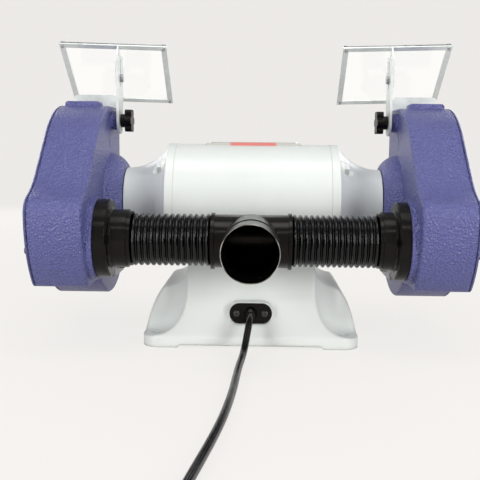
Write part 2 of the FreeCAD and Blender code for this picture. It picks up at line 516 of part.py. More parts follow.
def adapter(ring_x, collar_x, flange_x):
    """Stepped rubber cuff: flange on the guard's seat, collar, end ring round the hose."""
    seat_x = PORT_FACE_X
    cuff_x = ring_x + HOSE_CUFF + 1
    return revolved(
        V(0, PORT_Y, PORT_Z), (ring_x, ADAPTER_BORE), (ring_x, ADAPTER_RING_R), (collar_x, ADAPTER_RING_R),
        (collar_x, ADAPTER_COLLAR_R), (flange_x - 2, ADAPTER_COLLAR_R), (flange_x, ADAPTER_COLLAR_R + 2),
        (flange_x, ADAPTER_FLANGE_R - 2), (flange_x + 2, ADAPTER_FLANGE_R), (seat_x, ADAPTER_FLANGE_R),
        (seat_x, PORT_R - FIT), (seat_x + 4, PORT_R - FIT), (seat_x + 4, HOSE_BORE_R), (cuff_x, HOSE_BORE_R),
        (cuff_x, ADAPTER_BORE))


def ring_wire(x, radius, sides, y, z):
    corners = [V(x, y + radius * math.cos(a), z + radius * math.sin(a))
               for a in (2 * math.pi * i / sides for i in range(sides))]
    return Part.makePolygon(corners + corners[:1])


def hose(end_x, ribs):
    """Ribbed hose on a steady X axis: plain cuffs, trapezoid ribs, open bore."""
    pitch = (end_x - HOSE_X0) / ribs
    stations = [(HOSE_X0 - HOSE_CUFF, HOSE_ROOT_R)]
    for i in range(ribs):
        foot = HOSE_X0 + i * pitch
        stations += [(foot + 0.14 * pitch, HOSE_ROOT_R), (foot + 0.32 * pitch, HOSE_CREST_R),
                     (foot + 0.68 * pitch, HOSE_CREST_R), (foot + 0.86 * pitch, HOSE_ROOT_R)]
    stations.append((end_x + HOSE_CUFF, HOSE_ROOT_R))
    outside = loft(*[ring_wire(x, r, HOSE_SIDES, PORT_Y, HOSE_Z) for x, r in stations])
    ends = (stations[0][0], stations[-1][0])
    bore = loft(*[ring_wire(x, HOSE_BORE_R, HOSE_SIDES, PORT_Y, HOSE_Z) for x in ends])
    return outside.cut(bore)


def tee():
    """Run across the machine with a ring at each end, and a branch to the rear with a plain spigot."""
    end = HOSE_X0
    ring0 = end - TEE_RING_W
    run = revolved(V(0, PORT_Y, TEE_Z), (-end, 0), (-end, TEE_RING_R), (-ring0, TEE_RING_R), (-ring0, TEE_R),
                   (ring0, TEE_R), (ring0, TEE_RING_R), (end, TEE_RING_R), (end, 0))
    middle, mouth = V(0, PORT_Y, TEE_Z), V(0, TEE_OUT_Y, TEE_Z)
    root = rod(TEE_ROOT_R, middle, V(0, TEE_SPIGOT_Y, TEE_Z))
    hollow_run = rod_x(TEE_BORE, -end, end, PORT_Y, TEE_Z)
    lead_in = Part.makeCone(TEE_BORE, TEE_MOUTH_R, TEE_MOUTH_L, mouth - UNIT_Y * TEE_MOUTH_L, UNIT_Y)
    hollow = hollow_run.fuse([rod(TEE_BORE, middle, mouth), lead_in])
    return run.fuse([root, rod(TEE_R, middle, mouth)]).cut(hollow).removeSplitter()


def dust_nodes():
    """The two sides differ in how far the cuff reaches and how many ribs the hose shows."""
    for side, (ring_x, collar_x, flange_x) in ADAPTER_X.items():
        placed = mirrored if side == "left" else lambda shape: shape
        save("dust_adapter_" + side, placed(adapter(ring_x, collar_x, flange_x)))
        save("dust_hose_" + side, placed(hose(ring_x, HOSE_RIBS[side])))
    save("dust_tee", tee())


# Eye shields

def on_slope(shape):
    """Turns a flat shield drawn at the origin to its slope and droop, and puts its lower edge in place."""
    shape.rotate(ORIGIN, UNIT_X, SHIELD_SLOPE)
    shape.rotate(ORIGIN, UNIT_Y, -SHIELD_DROOP)
    shape.translate(V(SHIELD_X, SHIELD_Y, SHIELD_Z))
    return shape


def shield_frame():
    """Flat border with a tab that drops from it beside the arm."""
    half = SHIELD_W / 2
    border = box(-half, half, 0, SHIELD_L, 0, SHIELD_T)
    border = border.cut(box(SHIELD_RIM - half, half - SHIELD_RIM, SHIELD_RIM, SHIELD_L - SHIELD_RIM, -1, 5))
    border = on_slope(border.cut(shield_screw_holes()))
    tab_x = ARM_X1 + MOVE_GAP
    foot_z, ear_z = SHIELD_SCREW_Z - TAB_HALF_W, SHIELD_SCREW_Z + 5
    front_y = SHIELD_Y + SHIELD_L / 2
    tab = prism(outline(in_yz(tab_x), (STUD_Y - TAB_HALF_W, foot_z), (STUD_Y + TAB_HALF_W, foot_z),
                        (STUD_Y + TAB_HALF_W, ARM_Z1 + 40), (front_y, ARM_Z1 + 40), (front_y, ear_z)),
                UNIT_X * TAB_T)
    above = on_slope(box(-half, half, -50, SHIELD_L + 90, 0.5, 200))
    beyond = on_slope(box(-half, half, SHIELD_L, SHIELD_L + 90, -200, 100))
    return border.fuse(tab.cut([above, beyond])).removeSplitter()


SHIELD_SCREW_PLACES = [(sx * (SHIELD_W / 2 - 4), y) for sx in (1, -1) for y in (4.0, SHIELD_L - 4.0)]


def shield_screw_holes():
    return [rod(1.6, V(x, y, -10), V(x, y, 10)) for x, y in SHIELD_SCREW_PLACES]


def shield_pane():
    half = SHIELD_W / 2 - 1
    pane = box(-half, half, 1, SHIELD_L - 1, SHIELD_T, SHIELD_T + PANE_T)
    return on_slope(pane.cut(shield_screw_holes()))


def shield_screws():
    top = SHIELD_T + PANE_T
    return [on_slope(round_screw(V(x, y, top), UNIT_Z, 1.5, 7.0, 2.8, 1.6)) for x, y in SHIELD_SCREW_PLACES]


def shield_arm():
    """Upright strip with round ends, a pivot hole and a long slot."""
    y0, y1 = STUD_Y - ARM_HALF_W, STUD_Y + ARM_HALF_W
    end = ARM_Z0 + ARM_HALF_W
    strip = prism(outline(in_yz(ARM_X0), (y0, end), ((STUD_Y, ARM_Z0), (y1, end)), (y1, ARM_Z1 - 4),
                          (y1 - 4, ARM_Z1), (y0 + 4, ARM_Z1), (y0, ARM_Z1 - 4)), UNIT_X * (ARM_X1 - ARM_X0))
    pivot = rod_x(STUD_R + RUN_FIT, ARM_X0 - 1, ARM_X1 + 1, STUD_Y, STUD_Z)
    slot_mid = (ARM_SLOT_Z0 + ARM_SLOT_Z1) / 2
    slot_half = (ARM_SLOT_Z1 - ARM_SLOT_Z0) / 2
    slot = prism(oval(lambda z, y: V(ARM_X0 - 1, y, z), slot_half, ARM_SLOT_R, slot_mid, STUD_Y), UNIT_X * 6)
    return strip.cut([pivot, slot])


def slot_screw():
    """Screw that clamps the shield's tab to the arm's slot; its shank ends in the tab."""
    seat = V(ARM_X0 - MOVE_GAP, STUD_Y, SHIELD_SCREW_Z)
    return round_screw(seat, -UNIT_X, 2.5, ARM_X1 - ARM_X0 + 2 * MOVE_GAP - 0.05, 5.0, 3.0)


def knob():
    """Lobed hand knob with its moulded-in stud, which goes through the arm into the guard."""
    x1 = ARM_X0 - MOVE_GAP
    grip_x = x1 - KNOB_HUB_L
    centre = (STUD_Y, STUD_Z)
    lobes = [rod_x(KNOB_LOBE_R, KNOB_X0, grip_x, *polar(centre, KNOB_R, 360 / KNOB_LOBES * i))
             for i in range(KNOB_LOBES)]
    hub = rod_x(KNOB_HUB_R, grip_x, x1, *centre)
    stud = rod_x(STUD_R, x1, GUARD_X1 + STUD_DEPTH, *centre)
    return rod_x(KNOB_R, KNOB_X0, grip_x, *centre).fuse(lobes + [hub, stud]).removeSplitter()


def shield_nodes():
    save_pair("shield_arm", shield_arm())
    save_pair("shield_frame", shield_frame())
    save_pair("shield_pane", shield_pane())
    save_pair("shield_screws", *shield_screws(), slot_screw())
    save_pair("shield_knob", knob())


# Spark arrestors

def spark_nodes():
    y1 = OPEN_Y - 0.3
    y0 = y1 - SPARK_T
    plate = box(SPARK_X0, SPARK_X1, y0, y1, SPARK_Z0, SPARK_Z1)
    edges = [e for e in plate.Edges if e.BoundBox.YLength > SPARK_T - 0.1 and e.BoundBox.ZMin > SPARK_Z1 - 1]
    plate = plate.makeFillet(5.0, edges)
    half, middle = SPARK_TRAVEL / 2 + SPARK_SLOT_R, SPARK_SCREW_Z - SPARK_TRAVEL / 2
    slots = [prism(oval(lambda z, x: V(x, y0 - 1, z), half, SPARK_SLOT_R, middle, x), UNIT_Y * 5)
             for x in SPARK_SCREW_X]
    save_pair("spark_arrestor", plate.cut(slots))
    screws = [round_screw(V(x, y0 - 0.3, SPARK_SCREW_Z), -UNIT_Y, SPARK_SCREW_R, SPARK_T + 12, 4.6, 3.0)
              for x in SPARK_SCREW_X]
    save("spark_arrestor_screws", *both_sides(*screws))


# Tool rests

def rest_arm():
    """Flat bar from the guard's lower inner wall up to the rest's pivot, slotted along its travel."""
    half = REST_ARM_W / 2
    foot_y0, foot_y1 = REST_CLAMP_Y - 14, REST_CLAMP_Y + REST_TRAVEL + 14
    z0, z1 = REST_CLAMP_Z - half, REST_CLAMP_Z + half
    bar = prism(outline(in_yz(REST_ARM_X0), (foot_y1, z0), (foot_y1, z1), (foot_y0 - 6, z1),
                        (REST_PIVOT_Y + 10, REST_PIVOT_Z + 7),
                        ((REST_PIVOT_Y - 8, REST_PIVOT_Z + 9.2), (REST_PIVOT_Y - 7, REST_PIVOT_Z - 10)),
                        (foot_y0 - 14, z0)), UNIT_X * (REST_ARM_X1 - REST_ARM_X0))
    half, middle = REST_TRAVEL / 2 + REST_SLOT_R, REST_CLAMP_Y + REST_TRAVEL / 2
    slot = prism(oval(in_yz(REST_ARM_X0 - 1), half, REST_SLOT_R, middle, REST_CLAMP_Z), UNIT_X * 8)
    hole = rod_x(REST_PIVOT_R + FIT, REST_ARM_X0 - 1, REST_ARM_X1 + 1, REST_PIVOT_Y, REST_PIVOT_Z)
    return bar.cut([slot, hole])


def tool_rest():
    """Table in front of the wheel with a pivot ear on its inner side."""
    z1 = AXIS_Z
    table = box(REST_X0, REST_X1, REST_Y0, REST_Y1, z1 - REST_T, z1)
    upright = [e for e in table.Edges if e.BoundBox.ZLength > REST_T - 0.1]
    table = table.makeFillet(4.0, upright)
    ear = prism(outline(in_yz(REST_X0), (REST_PIVOT_Y - 12, z1 - REST_T), (REST_PIVOT_Y - 10, REST_PIVOT_Z),
                        ((REST_PIVOT_Y, REST_PIVOT_Z - 10), (REST_PIVOT_Y + 10, REST_PIVOT_Z)),
                        (REST_PIVOT_Y + 12, z1 - REST_T)), UNIT_X * REST_EAR_W)
    hole = rod_x(REST_PIVOT_R + RUN_FIT, REST_X0 - 1, REST_X0 + REST_EAR_W + 1, REST_PIVOT_Y, REST_PIVOT_Z)
    return table.fuse(ear).cut(hole).removeSplitter()


def pivot_bolt():
    """Shoulder bolt through arm and ear, head inward, nut on the ear's far side."""
    nut_x = REST_X0 + REST_EAR_W + MOVE_GAP
    length = nut_x + 7 - REST_ARM_X0
    bolt = hex_bolt(V(REST_ARM_X0, REST_PIVOT_Y, REST_PIVOT_Z), -UNIT_X, REST_PIVOT_R, length, 10.0, 4.5)
    nut = hexagon(10.0, V(nut_x, REST_PIVOT_Y, REST_PIVOT_Z), UNIT_X, 5.0)
    return bolt.fuse(nut).removeSplitter()


def rest_nodes():
    save_pair("rest_arm", rest_arm())
    save_pair("rest_pivot_bolt", pivot_bolt())
    save_pair("tool_rest", tool_rest())
    seat = V(REST_ARM_X0 - 0.3, REST_CLAMP_Y, REST_CLAMP_Z)
    clamp = hex_bolt(seat, -UNIT_X, REST_BOLT_R, REST_BOLT_L, 13.0, 6.0)
    save("rest_clamp_bolts", *both_sides(clamp))


# Switch

def switch_nodes():
    y0 = SWITCH_FACE_Y - BEZEL_T
    bezel = box(-BEZEL_X, BEZEL_X, y0, SWITCH_FACE_Y, SWITCH_Z - BEZEL_Z, SWITCH_Z + BEZEL_Z)
    well_x, well_z, case_x, case_z = ROCKER_X + 1.5, ROCKER_Z + 1.5, ROCKER_X + 2.9, ROCKER_Z + 2.9
    well = box(-well_x, well_x, y0 - 1, SWITCH_FACE_Y + 24, SWITCH_Z - well_z, SWITCH_Z + well_z)
    case = box(-case_x, case_x, SWITCH_FACE_Y, SWITCH_FACE_Y + 26, SWITCH_Z - case_z, SWITCH_Z + case_z)
    save("switch_bezel", bezel.fuse(case).cut(well).removeSplitter())
    pivot = V(0, SWITCH_FACE_Y + 8, SWITCH_Z)
    key = rod(ROCKER_Z - 0.6, pivot - UNIT_X * ROCKER_X, pivot + UNIT_X * ROCKER_X)
    nib = box(-ROCKER_X, ROCKER_X, SWITCH_FACE_Y - 12, SWITCH_FACE_Y, SWITCH_Z - 4, SWITCH_Z + 4)
    keep = box(-ROCKER_X, ROCKER_X, SWITCH_FACE_Y - 9, SWITCH_FACE_Y + 18, SWITCH_Z - 20, SWITCH_Z + 20)
    save("switch_rocker", key.fuse(nib).common(keep).removeSplitter())


# Cord

def tangent_path(points):
    """Straight runs joined by tangent arcs as large as the shorter run allows; prints their radii."""
    edges, radii = [], []
    here = points[0]
    for before, corner, after in zip(points, points[1:], points[2:]):
        a, b = before - corner, after - corner
        turn = math.atan2(a.cross(b).Length, -a.dot(b))
        cut = 0.45 * min(a.Length, b.Length)
        radius = cut / math.tan(turn / 2)
        a.normalize()
        b.normalize()
        inward = a + b
        inward.normalize()
        start, end = corner + a * cut, corner + b * cut
        middle = corner + inward * (radius / math.cos(turn / 2) - radius)
        edges.append(Part.LineSegment(here, start).toShape())
        edges.append(Part.Arc(start, middle, end).toShape())
        radii.append(round(radius))
        here = end
    edges.append(Part.LineSegment(here, points[-1]).toShape())
    print("cord lead bend radii", radii)
    return Part.Wire(edges)


def cord_section(point, along):
    side = along.cross(UNIT_Z)
    side.normalize()
    up = side.cross(along)
    corners = [point + side * (CORD_FACET_R * math.cos(a)) + up * (CORD_FACET_R * math.sin(a))
               for a in (2 * math.pi * i / CORD_SIDES for i in range(CORD_SIDES))]
    return Part.makePolygon(corners + corners[:1])


def swept(path, start, along):
    """Cord solid along a path; prints its volume beside section times length."""
    section = cord_section(start, along)
    tube = path.makePipeShell([section], True, False)
    expected = Part.Face(section).Area * path.Length
    print("cord volume", round(tube.Volume), "section times length", round(expected))
    print("cord length", round(path.Length))
    return tube


def coil_point(turn):
    """Place on the coil after a number of turns: in on the lower layer, out on the upper one."""
    half = COIL_TURNS / 2
    radius = COIL_INNER_R + COIL_PITCH * abs(turn - half)
    rise = min(max((turn - half + 0.25) / 0.5, 0.0), 1.0)
    lift = COIL_LAYER * rise * rise * (3 - 2 * rise)
    centre = V(*CORD_ROUTE[-1]) - UNIT_X * (COIL_INNER_R + COIL_PITCH * half)
    angle = 2 * math.pi * turn
    return centre + V(radius * math.cos(angle), radius * math.sin(angle), lift)


def coil_tangent(turn):
    """Direction of the coil; it starts and ends along +Y, square to what it meets."""
    if turn in (0.0, COIL_TURNS):
        return V(0, 1, 0)
    step = coil_point(turn + 0.01) - coil_point(turn - 0.01)
    return step.normalize()


def arc_from(start, along, end):
    """Arc that leaves start along a direction and passes through end."""
    chord = end - start
    cosine = along.dot(chord) / chord.Length
    half = math.acos(max(-1.0, min(1.0, cosine)))
    side = chord * (along.dot(chord) / chord.dot(chord)) - along
    side.normalize()
    sagitta = chord.Length / 2 * math.tan(half / 2)
    return Part.Arc(start, (start + end) * 0.5 - side * sagitta, end).toShape()


def biarc(p0, t0, p1, t1):
    """Two tangent arcs between two points with given directions."""
    v, t = p1 - p0, t0 + t1
    a = 2 * (1 - t0.dot(t1))
    d = (-v.dot(t) + math.sqrt(v.dot(t) ** 2 + a * v.dot(v))) / a
    joint = (p0 + p1 + (t0 - t1) * d) * 0.5
    along = joint - (p0 + t0 * d)
    along.normalize()
    return [arc_from(p0, t0, joint), arc_from(joint, along, p1)]


def coil_path():
    edges = []
    steps = int(COIL_TURNS * 4)
    for i in range(steps):
        turn0, turn1 = i * 0.25, (i + 1) * 0.25
        edges += biarc(coil_point(turn0), coil_tangent(turn0), coil_point(turn1), coil_tangent(turn1))
    tail = coil_point(COIL_TURNS)
    edges.append(Part.LineSegment(tail, V(tail.x, PLUG_Y0, tail.z)).toShape())
    return Part.Wire(edges)


def print_coil_gap():
    """Least gap of the coil to itself, measured on points half a turn or more apart."""
    count = 48
    points = [coil_point(i / count) for i in range(int(COIL_TURNS * count) + 1)]
    least = min(points[i].distanceToPoint(points[j])
                for i in range(len(points)) for j in range(i + count // 2, len(points)))
    print("coil least gap", round(least - 2 * CORD_FACET_R, 2))


def coil_tie():
    """Flat band round all the turns on the side away from the lead."""
    tail = coil_point(COIL_TURNS)
    outer = COIL_INNER_R + COIL_PITCH * COIL_TURNS / 2
    centre = tail - UNIT_X * outer
    room = CORD_FACET_R + 0.8
    x0, x1 = centre.x - outer - room, centre.x - COIL_INNER_R + room
    top = tail.z + room
    band = box(x0 - TIE_T, x1 + TIE_T, centre.y - TIE_W / 2, centre.y + TIE_W / 2, 0, top + TIE_T)
    return band.cut(box(x0, x1, centre.y - TIE_W, centre.y + TIE_W, TIE_T, top))


def cord_nodes():
    route = [V(*p) for p in CORD_ROUTE]
    save("cord_lead", swept(tangent_path(route), route[0], UNIT_Y))
    coil = coil_path()
    save("cord_coil", swept(coil, route[-1], UNIT_Y))
    print_coil_gap()
    save("cord_tie", coil_tie())
    tail = coil_point(COIL_TURNS)
    end = V(tail.x, PLUG_Y0, tail.z)
    neck = Part.makeCone(CORD_R + 1.2, CORD_R + 4.5, 14, end, UNIT_Y)
    body_y = PLUG_Y0 + 14
    body = prism(oval(in_xz(body_y), 15.0, PLUG_R, end.x, end.z), UNIT_Y * (PLUG_L - 14))
    save("plug_body", neck.fuse(body).removeSplitter())
    face_y = PLUG_Y0 + PLUG_L
    blades = [box(end.x + dx - 0.75, end.x + dx + 0.75, face_y, face_y + 16, end.z - 4.5 + 2, end.z + 2 + 2)
              for dx in (-6.35, 6.35)]
    earth = rod(2.4, V(end.x, face_y, end.z - 6.5), V(end.x, face_y + 19, end.z - 6.5))
    save("plug_pins", *blades, earth)


def cable_nodes():
    plate = prism(oval(in_xz(CABLE_FACE_Y), CABLE_HALF_W, CABLE_HALF_H, 0, CABLE_Z), UNIT_Y * CABLE_PLATE_T)
    out_y = CABLE_FACE_Y + CABLE_PLATE_T
    places = (-CABLE_SCREW_X, CABLE_SCREW_X)
    through = [(0, 6.6)] + [(x, 2.1) for x in places]
    holes = [rod(r, V(x, CABLE_FACE_Y - 1, CABLE_Z), V(x, out_y + 1, CABLE_Z)) for x, r in through]
    save("cable_plate", plate.cut(holes))
    screws = [round_screw(V(x, out_y, CABLE_Z), UNIT_Y, 2.0, 12.0, 3.8, 2.2) for x in places]
    screws += [round_screw(V(x, y, FOOT_RELIEF), -UNIT_Z, 2.0, 12.0, 3.8, 2.2) for x, y in PLATE_SCREW_PLACES]
    save("plate_screws", *screws)
    bush = rod(6.5, V(0, CABLE_FACE_Y - 8, CABLE_Z), V(0, out_y, CABLE_Z))
    flare = Part.makeCone(8.0, 5.4, BUSH_END_Y - out_y, V(0, out_y, CABLE_Z), UNIT_Y)
    save("cable_bush", bush.fuse(flare).removeSplitter())


os.makedirs("parts", exist_ok=True)
base_nodes()
motor_nodes()
rotor_nodes()
guard_nodes()
dust_nodes()
shield_nodes()
spark_nodes()
rest_nodes()
switch_nodes()
cable_nodes()
cord_nodes()
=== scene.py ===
import json
import math

import bmesh
import bpy
from mathutils import Matrix, Vector


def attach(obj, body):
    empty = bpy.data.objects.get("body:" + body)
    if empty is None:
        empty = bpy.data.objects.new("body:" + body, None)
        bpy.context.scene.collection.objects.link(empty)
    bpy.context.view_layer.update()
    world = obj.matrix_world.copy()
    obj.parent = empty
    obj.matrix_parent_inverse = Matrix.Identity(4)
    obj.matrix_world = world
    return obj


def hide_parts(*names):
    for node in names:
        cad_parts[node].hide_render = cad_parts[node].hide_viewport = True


# Lengths are in metres and angles in degrees. In the names of nodes and pieces, left and right
# are the operator's; in the names of lamps they are the photograph's, which is taken from the
# rear (+Y).

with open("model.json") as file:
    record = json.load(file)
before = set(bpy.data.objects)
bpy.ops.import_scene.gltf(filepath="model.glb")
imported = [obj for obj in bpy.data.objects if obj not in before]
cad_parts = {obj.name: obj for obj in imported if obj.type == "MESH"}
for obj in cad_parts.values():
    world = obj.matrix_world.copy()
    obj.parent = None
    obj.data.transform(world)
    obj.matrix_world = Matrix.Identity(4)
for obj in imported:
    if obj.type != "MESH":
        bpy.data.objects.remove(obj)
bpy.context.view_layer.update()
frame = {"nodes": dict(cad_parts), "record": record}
nodes = frame["nodes"]
scene = bpy.context.scene
scene.view_settings.view_transform = "Standard"

# Camera: the photographer stood behind the machine, a little above the shaft

CAMERA_AT = (-0.0086, 1.025, 0.2335)
CAMERA_YAW, CAMERA_PITCH, CAMERA_ROLL = 1.38, 6.71, 0.56
FOCAL_PX, FRAME_PX, SENSOR_MM = 789.8, 480.0, 36.0
CLIP_START = 0.02


def make_camera():
    data = bpy.data.cameras.new("camera")
    data.sensor_width = SENSOR_MM
    data.lens = FOCAL_PX / FRAME_PX * SENSOR_MM
    data.clip_start = CLIP_START
    camera = bpy.data.objects.new("camera", data)
    scene.collection.objects.link(camera)
    turn = Matrix.Rotation(math.pi + math.radians(CAMERA_YAW), 4, "Z")
    tip = Matrix.Rotation(math.pi / 2 - math.radians(CAMERA_PITCH), 4, "X")
    roll = Matrix.Rotation(math.radians(CAMERA_ROLL), 4, "Z")
    camera.matrix_world = Matrix.Translation(CAMERA_AT) @ turn @ tip @ roll
    scene.camera = camera


# Material nodes

MOTTLE_LOW, MOTTLE_HIGH = 0.3, 0.7  # the range of a noise over which a value changes
CELL_SMOOTHNESS = 0.6

finishes = {}  # the materials by name, filled by Finish


def srgb(r, g, b):
    """Linear colour of an 8-bit screen colour."""
    def linear(c):
        c /= 255.0
        return c / 12.92 if c <= 0.04045 else ((c + 0.055) / 1.055) ** 2.4
    return (linear(r), linear(g), linear(b), 1.0)


class Finish:
    """A node material that is built up step by step; its colours are 8-bit screen colours."""

    def __init__(self, name, color, roughness, metallic=0.0, **sockets):
        self.material = bpy.data.materials.new(name)
        finishes[name] = self.material
        self.material.use_nodes = True
        self.tree = self.material.node_tree
        self.shader = self.tree.nodes["Principled BSDF"]
        self.set("Base Color", srgb(*color))
        self.set("Roughness", roughness)
        self.set("Metallic", metallic)
        for key, value in sockets.items():
            self.set(key.replace("_", " "), value)
        self.place = self.add("TexCoord").outputs["Object"]
        self.normal = None

    def set(self, socket, value):
        self.shader.inputs[socket].default_value = value

    def add(self, kind, **values):
        """New node; a value goes to the socket of that name, or else to the node's own setting."""
        made = self.tree.nodes.new("ShaderNode" + kind)
        for key, value in values.items():
            if key in made.inputs:
                made.inputs[key].default_value = value
            else:
                setattr(made, key, value)
        return made

    def link(self, source, target):
        self.tree.links.new(source, target)

    def scaled(self, stretch):
        mapping = self.add("Mapping", Scale=stretch)
        self.link(self.place, mapping.inputs["Vector"])
        return mapping.outputs["Vector"]

    def noise(self, scale, detail=3.0, roughness=0.55, stretch=None):
        made = self.add("TexNoise", Scale=scale, Detail=detail, Roughness=roughness)
        self.link(self.scaled(stretch) if stretch else self.place, made.inputs["Vector"])
        return made.outputs["Fac"]

    def cells(self, scale):
        made = self.add("TexVoronoi", feature="SMOOTH_F1", Scale=scale, Smoothness=CELL_SMOOTHNESS)
        self.link(self.place, made.inputs["Vector"])
        return made.outputs["Distance"]

    def ramp(self, source, stops):
        """The source as a colour, by stops of position and linear colour."""
        made = self.add("ValToRGB")
        elements = made.color_ramp.elements
        while len(elements) < len(stops):
            elements.new(0.5)
        for element, (at, color) in zip(elements, stops):
            element.position = at
            element.color = color
        self.link(source, made.inputs["Fac"])
        return made.outputs["Color"]

    def color(self, source, *stops):
        colors = self.ramp(source, [(at, srgb(*color)) for at, color in stops])
        self.link(colors, self.shader.inputs["Base Color"])
        return self

    def mottle(self, source, dark, light):
        return self.color(source, (MOTTLE_LOW, dark), (MOTTLE_HIGH, light))

    def gloss(self, source, low, high):
        """Roughness from low to high."""
        stops = [(MOTTLE_LOW, (low, low, low, 1.0)), (MOTTLE_HIGH, (high, high, high, 1.0))]
        self.link(self.ramp(source, stops), self.shader.inputs["Roughness"])
        return self

    def round_edges(self, radius, samples=4):
        made = self.add("Bevel", samples=samples, Radius=radius)
        self.normal = made.outputs["Normal"]
        self.link(self.normal, self.shader.inputs["Normal"])
        return self

    def bump(self, source, strength, distance):
        made = self.add("Bump", Strength=strength, Distance=distance)
        self.link(source, made.inputs["Height"])
        if self.normal:
            self.link(self.normal, made.inputs["Normal"])
        self.normal = made.outputs["Normal"]
        self.link(self.normal, self.shader.inputs["Normal"])
        self.link(self.normal, self.shader.inputs["Coat Normal"])
        return self


def make_paints():
    f = Finish("white_enamel", (230, 235, 232), 0.34, Coat_Weight=0.2, Coat_Roughness=0.22)
    f.mottle(f.noise(9, 5), (227, 232, 229), (233, 238, 235))
    f.gloss(f.noise(40, 4), 0.30, 0.44).round_edges(0.0012)
    f.bump(f.noise(260), strength=0.12, distance=0.0006)

    # The base's enamel is the motor's white enamel painted lighter, as painted light for the base,
    # which gets less light than the motor; its edges are also shaded round wider
    f = Finish("base_enamel_painted_lighter", (238, 243, 240), 0.34, Coat_Weight=0.2, Coat_Roughness=0.22)
    f.mottle(f.noise(9, 5), (235, 240, 237), (241, 246, 243))
    f.gloss(f.noise(40, 4), 0.30, 0.44).round_edges(0.006, samples=8)
    f.bump(f.noise(120, 4), strength=0.16, distance=0.0008)

    f = Finish("guard_paint", (86, 89, 149), 0.4, Coat_Weight=0.3, Coat_Roughness=0.2)
    f.mottle(f.noise(520, 3, 0.7), (76, 79, 138), (96, 99, 160))
    f.gloss(f.noise(420), 0.30, 0.46).round_edges(0.0022)
    f.bump(f.cells(420), strength=1.0, distance=0.0016)
    f.bump(f.noise(900, 2), strength=0.4, distance=0.0004)


def make_plastics():
    f = Finish("black_plastic", (9, 8, 8), 0.2, Specular_IOR_Level=0.22,
               Specular_Tint=(1.0, 0.93, 0.89, 1.0))
    f.mottle(f.noise(30, 5), (7, 6, 6), (11, 10, 10))
    f.gloss(f.noise(90, 4), 0.17, 0.28).round_edges(0.0008)
    f.bump(f.noise(900, 2), strength=0.06, distance=0.0002)

    f = Finish("hose_plastic", (4, 4, 5), 0.08, Specular_IOR_Level=0.4)
    f.mottle(f.noise(25, 4), (3, 3, 4), (6, 6, 6))
    f.gloss(f.noise(70), 0.06, 0.14)
    f.bump(f.noise(90, 3, 0.6, stretch=(1.0, 1.6, 1.6)), strength=0.45, distance=0.0014)

    # Painted highlight: a light ring whose colour stands in for the tee mouth's edge catching the
    # light
    f = Finish("painted_highlight_rim", (96, 92, 88), 0.4)
    f.color(f.noise(60), (0.35, (30, 29, 28)), (0.5, (120, 115, 108)), (0.65, (196, 192, 186)))
    f.gloss(f.noise(200), 0.3, 0.5)

    f = Finish("cord_rubber", (24, 24, 25), 0.2, Specular_IOR_Level=0.6)
    f.mottle(f.noise(50, 4), (21, 21, 22), (29, 28, 28))
    f.gloss(f.noise(120), 0.15, 0.26)
    f.bump(f.noise(1200, 2), strength=0.08, distance=0.0002)

    f = Finish("clear_pane", (254, 255, 255), 0.03, Transmission_Weight=1.0, IOR=1.3)
    f.gloss(f.noise(35, 5, 0.7), 0.02, 0.07)

    f = Finish("switch_red", (168, 26, 24), 0.3, Coat_Weight=0.3)
    f.mottle(f.noise(80), (156, 22, 20), (178, 32, 29))
    f.gloss(f.noise(200), 0.24, 0.38).round_edges(0.0006)


def make_metals():
    f = Finish("zinc", (234, 240, 239), 0.34, 0.4)
    f.mottle(f.noise(140, 4), (225, 231, 229), (238, 243, 241))
    f.gloss(f.noise(110, 4), 0.28, 0.42).round_edges(0.0005)
    f.bump(f.noise(500, 2, 0.5, stretch=(1.0, 1.0, 0.12)), strength=0.06, distance=0.0003)

    f = Finish("steel", (176, 178, 182), 0.34, 1.0)
    f.mottle(f.noise(120, 4), (160, 162, 166), (190, 192, 196))
    f.gloss(f.noise(400, 3, 0.6, stretch=(0.2, 1.0, 1.0)), 0.26, 0.44).round_edges(0.0005)

    f = Finish("black_steel", (82, 81, 80), 0.3, 0.8)
    f.mottle(f.noise(200, 4), (70, 69, 68), (98, 97, 95))
    f.gloss(f.noise(300), 0.22, 0.36).round_edges(0.0004)

    f = Finish("rest_casting", (178, 180, 184), 0.5, 0.55)
    f.mottle(f.noise(90, 5), (164, 166, 170), (190, 192, 196))
    f.gloss(f.noise(200, 4), 0.4, 0.6).round_edges(0.0008)
    f.bump(f.noise(420, 4), strength=0.25, distance=0.0005)

    f = Finish("core_steel", (84, 84, 88), 0.5, 0.8)
    sheets = (1.0, 0.02, 0.02)
    f.color(f.noise(1500, 2, 0.5, sheets), (0.35, (66, 66, 70)), (0.65, (100, 100, 104)))
    f.bump(f.noise(1500, 1, 0.5, sheets), strength=0.3, distance=0.0002)

    f = Finish("winding", (170, 92, 48), 0.35, 0.8)
    wires = (0.05, 1.0, 1.0)
    f.mottle(f.noise(500, 3, 0.5, wires), (140, 72, 36), (190, 108, 60))
    f.bump(f.noise(500, 2, 0.5, wires), strength=0.5, distance=0.0006)

    f = Finish("can_aluminium", (190, 191, 194), 0.4, 0.9)
    f.mottle(f.noise(150, 3, 0.5, stretch=(0.05, 1.0, 1.0)), (178, 179, 182), (198, 199, 202))
    f.gloss(f.noise(300), 0.32, 0.5)

    f = Finish("pin_brass", (196, 168, 104), 0.25, 1.0)
    f.mottle(f.noise(200), (184, 154, 92), (206, 180, 118))
    f.gloss(f.noise(300), 0.2, 0.34)


def make_wheel_finishes():
    f = Finish("wheel_grit", (108, 108, 110), 0.9)
    f.color(f.noise(900, 2, 0.8),
            (0.35, (70, 70, 72)), (0.5, (112, 112, 114)), (0.68, (176, 176, 176)))
    f.bump(f.noise(1100, 3, 0.8), strength=0.8, distance=0.0008)

    f = Finish("blotter_paper", (206, 198, 172), 0.85)
    f.mottle(f.noise(300, 5, 0.7, stretch=(1.0, 3.0, 3.0)), (192, 184, 158), (214, 207, 184))
    f.bump(f.noise(900), strength=0.2, distance=0.0002)


